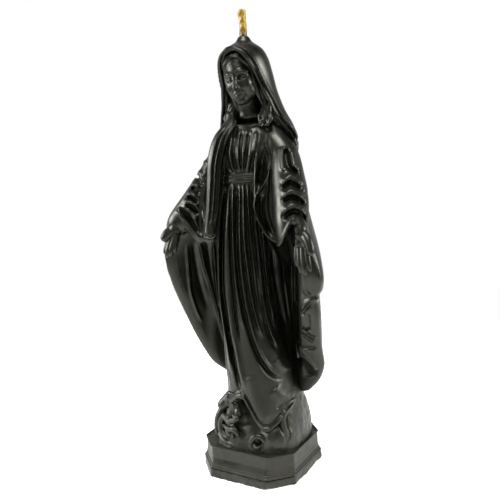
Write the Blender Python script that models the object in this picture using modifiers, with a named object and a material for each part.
"""A wax figure candle: a robed figure with open hands on a chamfered plinth, with its wick.

The wax is one casting, poured round a waxed wick that runs from the crown of the head to the
underside. A second, smaller pour tops up the sink that the cooling wax leaves round the wick at
the base. The figure looks along -Y, its left side is +X, and the origin is the middle of the
underside.
"""

import math

import bmesh
import bpy
from mathutils import Vector

MM = 0.001

# Driving dimensions, in millimetres.
CROWN_Z = 200.0  # top of the wax, at the foot of the free wick
WICK_TOP_Z = 211.5
WICK_RADIUS = 1.55
BRAID_RADIUS = 0.85
COAT_BORE_RADIUS = 1.15
GAP = 0.3  # between neighbouring solids
PLINTH_TOP_Z = 14.6
WICK_FOOT_Z = 3.0  # the top-up pour covers the wick's lower end
TOP_UP_FOOT_RADIUS = 13.0
TOP_UP_HEAD_RADIUS = 7.5
TOP_UP_DEPTH = 9.0

FORM_VOXEL = 1.1  # the casting's forms are fused at this grain
FIGURE_FACES = 7600  # triangles kept for the fused figure

# Plinth profile from the foot up: height, half width, half depth, corner chamfer.
PLINTH_PROFILE = (
    (0.0, 24.8, 24.0, 10.4),
    (3.9, 24.6, 23.9, 10.1),
    (4.3, 24.9, 24.2, 10.2),
    (5.9, 24.9, 24.2, 10.2),
    (8.7, 23.3, 22.3, 9.2),
    (PLINTH_TOP_Z, 23.1, 22.1, 8.9),
)

# The ground under the figure's feet: height, centre x, centre y, half width, half depth, chamfer.
MOUND = (
    (13.0, 0.8, 0, 21.8, 20.6, 9.5),
    (18.0, 1.9, 0, 20.6, 19.4, 9.3),
    (24.0, 2.4, 0, 19.2, 17.6, 9.0),
    (30.0, 2.4, 0, 17.8, 15.5, 9.0),
    (38.0, 2.4, 0, 15.6, 13.5, 8.5),
    (44.0, 2.0, 0, 12.0, 11.0, 7.0),
)

# Round forms as stacked ovals: height, centre x, centre y, half width, half depth.
GOWN = (
    (27.0, 4, -5, 12.0, 11.0),
    (31.0, 3, -3, 16.0, 14.0),
    (45.0, 2, -3, 16.0, 14.0),
    (60.0, 0, -3, 15.5, 13.5),
    (80.0, -1.5, -4, 14.5, 12.0),
    (100.0, -1, -4, 14.0, 11.0),
    (120.0, 0, -3, 13.0, 10.5),
    (138.0, 0, -2, 11.0, 8.8),
    (150.0, 0, -1, 13.0, 10.0),
    (157.0, 0, 0, 12.5, 8.0),
    (162.0, 0, 0, 8.0, 5.0),
)
BELT = (
    (136.6, 0, -2, 11.0, 8.8),
    (137.2, 0, -2, 11.8, 9.6),
    (140.2, 0, -2, 11.8, 9.6),
    (140.8, 0, -2, 11.0, 8.8),
)
VEIL = (
    (144.0, 0.5, 5, 20.5, 9.0),
    (153.0, 0.5, 4.5, 21.6, 10.8),
    (160.0, 0.5, 5, 18.8, 11.4),
    (168.0, 0.3, 4.0, 14.4, 12.0),
    (176.0, 0.2, 1.0, 12.0, 11.2),
    (184.0, 0, -0.5, 11.6, 10.9),
    (190.0, 0, -1, 11.0, 10.4),
    (195.0, 0, -0.5, 8.2, 7.8),
    (198.0, 0, 0, 3.6, 3.4),
    (CROWN_Z, 0, 0, 2.6, 2.6),
)
FACE_OPENING = (
    (160.5, 0, -15, 6.5, 8.5),
    (170.0, 0.6, -15, 8.2, 8.0),
    (180.0, 0.2, -15, 8.4, 8.0),
    (188.0, -0.3, -15, 7.2, 8.0),
    (194.0, -0.6, -15, 3.5, 8.0),
)
HEAD = (
    (170.5, 2.2, -6.5, 2.2, 3.0),
    (173.0, 1.9, -6.2, 4.6, 5.0),
    (178.0, 1.4, -5.4, 6.4, 6.2),
    (184.0, 0.9, -4.8, 7.0, 6.8),
    (190.0, 0.3, -4.2, 6.4, 6.2),
    (194.0, 0.0, -3.4, 4.0, 4.0),
)
NECK = ((156.0, 0.6, -1.0, 7.0, 5.2), (163.0, 1.0, -1.5, 4.6, 4.4), (174.0, 1.6, -3.0, 4.6, 4.4))
LEFT_FOLD = (
    (108.6, 20.5, -14.0, 2.2, 1.8),
    (111.5, 20.0, -13.0, 4.8, 3.4),
    (125.0, 16.5, -11.0, 6.4, 4.4),
    (140.0, 13.0, -8.0, 6.4, 4.6),
    (152.0, 11.0, -4.5, 6.2, 4.6),
    (161.0, 9.0, -1.0, 4.0, 3.6),
)
RIGHT_FOLD = (
    (108.8, 15.0, -14.5, 1.8, 1.6),
    (111.5, 15.0, -13.5, 3.6, 3.2),
    (125.0, 14.5, -11.0, 4.4, 4.4),
    (140.0, 13.0, -8.0, 5.0, 4.6),
    (152.0, 11.5, -4.5, 5.6, 4.6),
    (161.0, 9.0, -1.0, 4.0, 3.6),
)

# The mantle's wall in plan, from the middle of the back round to the front edge and back inside.
# Each level gives its height and then (x, y) for the left half.
MANTLE = (
    (33.0, ((0, 15), (9, 14.5), (15, 13), (18, 10), (18.5, 8), (14, 8), (8, 9), (0, 9))),
    (42.0, ((0, 16.5), (12, 15.5), (20, 13.5), (25, 9.5), (25.5, 6.5), (19, 8), (10, 10), (0, 10.5))),
    (60.0, ((0, 17), (13, 15.5), (23, 10.5), (31, 1), (32, -4.5), (25.5, 1), (14, 9), (0, 11))),
    (78.0, ((0, 17.5), (14, 16), (26, 9), (36, -5), (36.8, -10.5), (29.5, -3), (16, 8), (0, 11))),
    (94.0, ((0, 18), (14, 16), (27, 8), (38, -7), (39.3, -14), (30.5, -7), (16, 6), (0, 10))),
    (108.0, ((0, 18), (14, 16.5), (26, 10), (34, -3), (37, -13), (30, -11), (16, 2), (0, 6))),
    (122.0, ((0, 17.5), (14, 16), (23, 10.5), (28, 2), (30, -8), (25, -9), (16, -3), (0, 2))),
    (138.0, ((0, 16), (12, 14.5), (19, 10), (23, 4), (23, -4), (19, -5), (13, -3), (0, 0))),
    (150.0, ((0, 14), (9, 13), (15.5, 9.5), (19, 5), (18.5, 0), (15, -3), (9, -3), (0, -1))),
    (157.0, ((0, 12), (7, 11), (12, 8), (14.5, 4.5), (14, 1), (11, -1), (7, -1), (0, 0))),
)
MANTLE_PLAN_POINTS = 22  # points along each half of a plan, both faces of the wall counted

# Limbs and cords: (x, y, z, radius) along the middle line.
ARM = (
    (13.0, 3.0, 152.5, 5.4),
    (18.0, 0.5, 145.0, 6.4),
    (22.5, -3.5, 135.0, 6.8),
    (27.0, -8.5, 126.5, 6.2),
    (30.5, -13.0, 120.5, 5.0),
    (32.0, -15.0, 117.5, 4.0),
)
PALM = ((32.6, -14.5, 117.0, 3.1), (33.2, -16.2, 113.5, 3.7), (33.8, -17.2, 109.5, 3.3))
FINGERS = (
    ((31.3, -17.4, 110.0, 1.35), (31.6, -18.0, 105.0, 1.25), (32.2, -17.6, 101.5, 1.0)),
    ((33.3, -17.8, 110.0, 1.4), (33.7, -18.6, 104.4, 1.3), (34.3, -18.2, 99.8, 1.05)),
    ((35.3, -17.6, 110.0, 1.4), (35.8, -18.3, 104.6, 1.3), (36.3, -17.9, 100.4, 1.05)),
    ((37.0, -16.9, 110.4, 1.25), (37.6, -17.3, 106.2, 1.15), (38.0, -17.0, 102.8, 0.95)),
)
SERPENT = (
    (16.5, -7.5, 36.0, 2.0),
    (17.5, -10.5, 31.0, 2.1),
    (19.0, -11.0, 26.0, 2.0),
    (17.5, -12.5, 20.5, 1.8),
)
SERPENT_COIL = (
    (-18.0, -6.0, 18.0, 1.8),
    (-15.5, -12.0, 21.5, 2.2),
    (-10.5, -16.0, 26.0, 2.4),
    (-5.0, -18.0, 27.0, 2.2),
    (-2.5, -20.0, 22.5, 2.2),
    (1.5, -20.4, 17.5, 1.9),
    (6.5, -20.2, 18.6, 1.7),
    (7.0, -19.6, 23.0, 1.5),
    (3.0, -19.2, 24.5, 1.3),
)

OVAL_SIDES = 32
ROUND_SIDES = 24

WAX_COLOUR = (0.012, 0.012, 0.010, 1)
COAT_COLOUR = (0.55, 0.35, 0.05, 1)
BRAID_COLOUR = (0.62, 0.50, 0.24, 1)


def clear_scene():
    for obj in list(bpy.data.objects):
        bpy.data.objects.remove(obj, do_unlink=True)


def make_collection(name, rendered=True):
    made = bpy.data.collections.new(name)
    bpy.context.scene.collection.children.link(made)
    made.hide_render = not rendered
    return made


def make_material(name, colour, roughness):
    material = bpy.data.materials.new(name)
    material.use_nodes = True
    shader = material.node_tree.nodes["Principled BSDF"]
    shader.inputs["Base Color"].default_value = colour
    shader.inputs["Roughness"].default_value = roughness
    shader.inputs["Metallic"].default_value = 0.0
    return material


def object_from_bmesh(name, bm, collection):
    bmesh.ops.recalc_face_normals(bm, faces=bm.faces)
    mesh = bpy.data.meshes.new(name)
    bm.to_mesh(mesh)
    bm.free()
    obj = bpy.data.objects.new(name, mesh)
    collection.objects.link(obj)
    return obj


def loft(name, rings, collection):
    """A closed solid through rings of the same number of points, in millimetres."""
    bm = bmesh.new()
    made = [[bm.verts.new(Vector(point) * MM) for point in ring] for ring in rings]
    count = len(rings[0])
    for low, high in zip(made, made[1:]):
        for i in range(count):
            j = (i + 1) % count
            bm.faces.new((low[i], low[j], high[j], high[i]))
    bm.faces.new(list(reversed(made[0])))
    bm.faces.new(made[-1])
    return object_from_bmesh(name, bm, collection)


def oval_ring(z, x, y, half_width, half_depth, sides=OVAL_SIDES):
    turns = (2 * math.pi * i / sides for i in range(sides))
    return [(x + half_width * math.cos(t), y + half_depth * math.sin(t), z) for t in turns]


def oval_stack(name, levels, collection, side=1):
    """A loft of ovals. side = -1 gives the mirror image across the middle plane."""
    rings = [oval_ring(z, side * x, y, w, d) for z, x, y, w, d in levels]
    return loft(name, rings, collection)


def chamfered_ring(z, middle_x, middle_y, half_width, half_depth, chamfer):
    """A rectangle with its four corners cut off, at one height."""
    x, y, c = half_width, half_depth, chamfer
    right = [(x - c, -y), (x, c - y), (x, y - c), (x - c, y)]
    corners = right + [(-across, deep) for across, deep in reversed(right)]
    return [(middle_x + across, middle_y + deep, z) for across, deep in corners]


def catmull_rom(points, count):
    """count points along a smooth open curve through the given ones."""
    points = [Vector(p) for p in points]
    ends = [2 * points[0] - points[1], *points, 2 * points[-1] - points[-2]]
    made = []
    for i in range(count):
        at = i * (len(points) - 1) / (count - 1)
        k = min(int(at), len(points) - 2)
        t = at - k
        a, b, c, d = ends[k : k + 4]
        bend = (2 * a - 5 * b + 4 * c - d) * t**2 + (3 * b - a - 3 * c + d) * t**3
        made.append(0.5 * (2 * b + (c - a) * t + bend))
    return made


def mantle_ring(z, half_plan):
    """The whole wall in plan at one height: the left half and its mirror image."""
    left = [(p.x, p.y, z) for p in catmull_rom([(x, y, 0) for x, y in half_plan], MANTLE_PLAN_POINTS)]
    right = [(-x, y, z) for x, y, z in left[1:-1]]
    return left + right[::-1]


def limb(name, stations, collection, side=1):
    """A round form of changing radius along a smooth middle line, closed at its ends."""
    curve = bpy.data.curves.new(name, "CURVE")
    curve.dimensions = "3D"
    curve.bevel_depth = MM
    curve.bevel_resolution = 3
    curve.use_fill_caps = True
    smooth = catmull_rom([(x, y, z) for x, y, z, _ in stations], 4 * len(stations))
    radii = catmull_rom([(r, 0, 0) for _, _, _, r in stations], 4 * len(stations))
    spline = curve.splines.new("POLY")
    spline.points.add(len(smooth) - 1)
    for target, place, radius in zip(spline.points, smooth, radii):
        target.co = (side * place.x * MM, place.y * MM, place.z * MM, 1)
        target.radius = radius.x
    guide = bpy.data.objects.new(name, curve)
    collection.objects.link(guide)
    return as_mesh(guide, collection)


def as_mesh(obj, collection):
    """The object's evaluated shape as a plain mesh object, in its place. Curve caps are welded."""
    graph = bpy.context.evaluated_depsgraph_get()
    mesh = bpy.data.meshes.new_from_object(obj.evaluated_get(graph), depsgraph=graph)
    bm = bmesh.new()
    bm.from_mesh(mesh)
    bmesh.ops.remove_doubles(bm, verts=bm.verts, dist=0.00001)
    bmesh.ops.recalc_face_normals(bm, faces=bm.faces)
    bm.to_mesh(mesh)
    bm.free()
    name, place = obj.name, obj.matrix_world.copy()
    bpy.data.objects.remove(obj, do_unlink=True)
    made = bpy.data.objects.new(name, mesh)
    made.matrix_world = place
    collection.objects.link(made)
    return made


def boolean(target, cutter, operation):
    modifier = target.modifiers.new(f"{operation.lower()} {cutter.name}", "BOOLEAN")
    modifier.operation = operation
    modifier.solver = "EXACT"
    modifier.object = cutter


def knob(name, place, radius, collection):
    bm = bmesh.new()
    bmesh.ops.create_uvsphere(bm, u_segments=ROUND_SIDES, v_segments=12, radius=radius * MM)
    bmesh.ops.translate(bm, verts=bm.verts, vec=Vector(place) * MM)
    return object_from_bmesh(name, bm, collection)


def cone(name, bottom, top, foot_radius, head_radius, collection, sides=ROUND_SIDES):
    bm = bmesh.new()
    bmesh.ops.create_cone(
        bm,
        cap_ends=True,
        segments=sides,
        radius1=foot_radius * MM,
        radius2=head_radius * MM,
        depth=(top - bottom) * MM,
    )
    bmesh.ops.translate(bm, verts=bm.verts, vec=(0, 0, (top + bottom) / 2 * MM))
    return object_from_bmesh(name, bm, collection)


def as_helper(obj):
    obj.hide_render = True
    obj.display_type = "WIRE"
    return obj


def head_and_veil(forms):
    veil = oval_stack("veil", VEIL, forms)
    opening = as_helper(oval_stack("face opening", FACE_OPENING, forms))
    boolean(veil, opening, "DIFFERENCE")
    bpy.context.view_layer.update()
    veil = as_mesh(veil, forms)
    bpy.data.objects.remove(opening, do_unlink=True)
    neck_of_wax = cone("wax round the wick", 196.0, CROWN_Z, 5.5, 2.3, forms)
    return [veil, neck_of_wax, oval_stack("head", HEAD, forms), oval_stack("neck", NECK, forms)]


def side_forms(forms, side):
    """An arm, its open hand and the mantle's front fold, on one side of the body."""
    tag = "left" if side > 0 else "right"
    made = [
        limb(f"{tag} sleeve", ARM, forms, side),
        limb(f"{tag} palm", PALM, forms, side),
        oval_stack(f"{tag} front fold", LEFT_FOLD if side > 0 else RIGHT_FOLD, forms, side),
    ]
    for i, finger in enumerate(FINGERS):
        made.append(limb(f"{tag} finger {i + 1}", finger, forms, side))
    return made


def ground_forms(forms):
    return [
        loft("mound", [chamfered_ring(*level) for level in MOUND], forms),
        limb("serpent tail", SERPENT, forms),
        limb("serpent coil", SERPENT_COIL, forms),
        knob("serpent head", (-7.5, -18.5, 31.0), 3.2, forms),
        knob("right foot", (-10.0, -13.5, 36.0), 4.2, forms),
    ]


def fuse(name, pieces, collection):
    """One object that holds the pieces' meshes, fused by a voxel remesh and thinned."""
    bm = bmesh.new()
    for piece in pieces:
        bm.from_mesh(piece.data)
    fused = object_from_bmesh(name, bm, collection)
    remesh = fused.modifiers.new("fuse", "REMESH")
    remesh.mode = "VOXEL"
    remesh.voxel_size = FORM_VOXEL * MM
    bpy.context.view_layer.update()
    fused = as_mesh(fused, collection)
    fused.data.calc_loop_triangles()
    thin = fused.modifiers.new("thin", "DECIMATE")
    thin.ratio = FIGURE_FACES / len(fused.data.loop_triangles)
    bpy.context.view_layer.update()
    fused = as_mesh(fused, collection)
    fused.name = name
    return fused


def build_figure(forms, cutters, candle, wax):
    pieces = [oval_stack("gown", GOWN, forms), oval_stack("belt", BELT, forms)]
    pieces.append(loft("mantle", [mantle_ring(z, plan) for z, plan in MANTLE], forms))
    pieces += head_and_veil(forms) + ground_forms(forms)
    pieces += side_forms(forms, 1) + side_forms(forms, -1)
    figure = fuse("wax_figure", pieces, candle)
    for piece in pieces:
        bpy.data.objects.remove(piece, do_unlink=True)
    figure.data.materials.append(wax)
    plinth_rings = [chamfered_ring(z, 0, 0, *sizes) for z, *sizes in PLINTH_PROFILE]
    plinth = as_helper(loft("plinth", plinth_rings, cutters))
    boolean(figure, plinth, "UNION")
    bore = as_helper(cone("wick bore", -5, CROWN_Z + 5, WICK_RADIUS + GAP, WICK_RADIUS + GAP, cutters))
    boolean(figure, bore, "DIFFERENCE")
    slope = (TOP_UP_FOOT_RADIUS - TOP_UP_HEAD_RADIUS) / TOP_UP_DEPTH
    foot_radius = TOP_UP_FOOT_RADIUS + GAP + slope * (1 + GAP)
    head_radius = TOP_UP_HEAD_RADIUS + GAP
    sink = as_helper(cone("sink", -1, TOP_UP_DEPTH + GAP, foot_radius, head_radius, cutters))
    boolean(figure, sink, "DIFFERENCE")
    figure.data.shade_smooth()
    figure.data.set_sharp_from_angle(angle=math.radians(40))
    return figure


def build_top_up(cutters, candle, wax):
    top_up = cone("base_top_up_pour", 0, TOP_UP_DEPTH, TOP_UP_FOOT_RADIUS, TOP_UP_HEAD_RADIUS, candle)
    bore_radius = WICK_RADIUS + GAP
    socket_foot, socket_top = WICK_FOOT_Z - GAP, TOP_UP_DEPTH + 5
    socket = as_helper(cone("wick socket", socket_foot, socket_top, bore_radius, bore_radius, cutters))
    boolean(top_up, socket, "DIFFERENCE")
    top_up.data.materials.append(wax)
    return top_up


def build_wick(cutters, candle, coat_material, braid_material):
    coat = cone("wick_wax_coat", WICK_FOOT_Z, WICK_TOP_Z, WICK_RADIUS, WICK_RADIUS, candle)
    core = as_helper(cone("coat bore", -5, WICK_TOP_Z + 5, COAT_BORE_RADIUS, COAT_BORE_RADIUS, cutters))
    boolean(coat, core, "DIFFERENCE")
    coat.data.materials.append(coat_material)
    braid = cone("wick_braid", WICK_FOOT_Z, WICK_TOP_Z, BRAID_RADIUS, BRAID_RADIUS, candle)
    braid.data.materials.append(braid_material)
    for obj in (coat, braid):
        obj.data.shade_smooth()
        obj.data.set_sharp_from_angle(angle=math.radians(40))


def main():
    clear_scene()
    candle = make_collection("figure candle")
    forms = make_collection("figure forms", rendered=False)
    cutters = make_collection("cutters", rendered=False)
    wax = make_material("black_wax", WAX_COLOUR, 0.4)
    coat_material = make_material("yellow_wick_wax", COAT_COLOUR, 0.45)
    braid_material = make_material("cotton_braid", BRAID_COLOUR, 0.8)
    build_figure(forms, cutters, candle, wax)
    build_top_up(cutters, candle, wax)
    build_wick(cutters, candle, coat_material, braid_material)


main()
